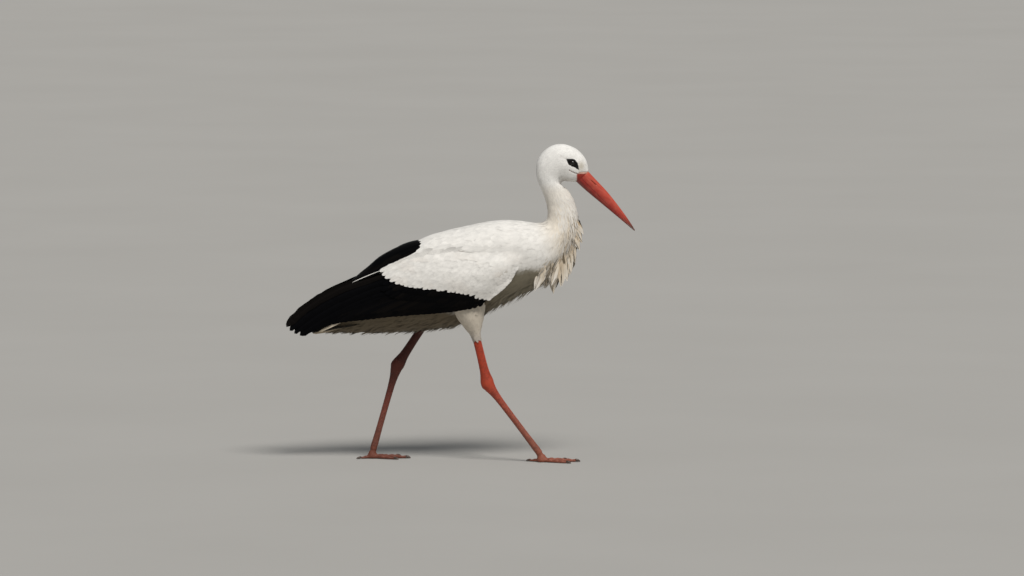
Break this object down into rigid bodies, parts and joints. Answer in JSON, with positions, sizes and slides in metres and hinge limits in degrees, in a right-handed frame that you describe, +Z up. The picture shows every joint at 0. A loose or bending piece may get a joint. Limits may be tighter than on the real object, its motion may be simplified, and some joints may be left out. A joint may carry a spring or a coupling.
{
  "type": "white stork, life-size still display model",
  "caption": "Life-size model of a white stork in mid stride, with folded black and white wings, a long straight red bill and long red legs, that stands on its own toes.",
  "frame": {"origin": "on the floor, under the middle of the bird's box, between the two feet", "axes": "+X towards the bill, the longest extent; +Y to the bird's left, the shortest extent; +Z up"},
  "size_m": [0.7669, 0.1914, 0.699],
  "materials": {
    "white_plumage": "soft white feathers, warmer on the ruff and belly",
    "black_plumage": "black flight feathers with a low sheen",
    "bill": "smooth red horn, dusky at the tip and along the lower edge",
    "leg_skin": "dull red scaly skin",
    "claw": "dark brown horn",
    "eye": "wet dark brown"
  },
  "bodies": {
    "root": {"bill_lower": "bill", "bill_upper": "bill", "breast": "white_plumage", "claw_hind_left": "claw", "claw_hind_right": "claw", "claw_inner_left": "claw", "claw_inner_right": "claw", "claw_middle_left": "claw", "claw_middle_right": "claw", "claw_outer_left": "claw", "claw_outer_right": "claw", "eye_left": "eye", "eye_right": "eye", "foot_left": "leg_skin", "foot_right": "leg_skin", "head": "white_plumage", "leg_left_ankle": "leg_skin", "leg_left_shank": "leg_skin", "leg_left_tarsus": "leg_skin", "leg_left_thigh": "white_plumage", "leg_right_ankle": "leg_skin", "leg_right_shank": "leg_skin", "leg_right_tarsus": "leg_skin", "leg_right_thigh": "white_plumage", "neck_lower": "white_plumage", "neck_plumes": "white_plumage", "neck_upper": "white_plumage", "rump": "white_plumage", "scapulars_left": "black_plumage", "scapulars_right": "black_plumage", "tail": "white_plumage", "toe_hind_left": "leg_skin", "toe_hind_right": "leg_skin", "toe_inner_left": "leg_skin", "toe_inner_right": "leg_skin", "toe_middle_left": "leg_skin", "toe_middle_right": "leg_skin", "toe_outer_left": "leg_skin", "toe_outer_right": "leg_skin", "trunk": "white_plumage", "wing_left_coverts": "white_plumage", "wing_left_primaries": "black_plumage", "wing_left_secondaries": "black_plumage", "wing_right_coverts": "white_plumage", "wing_right_primaries": "black_plumage", "wing_right_secondaries": "black_plumage"}
  },
  "joints": []
}
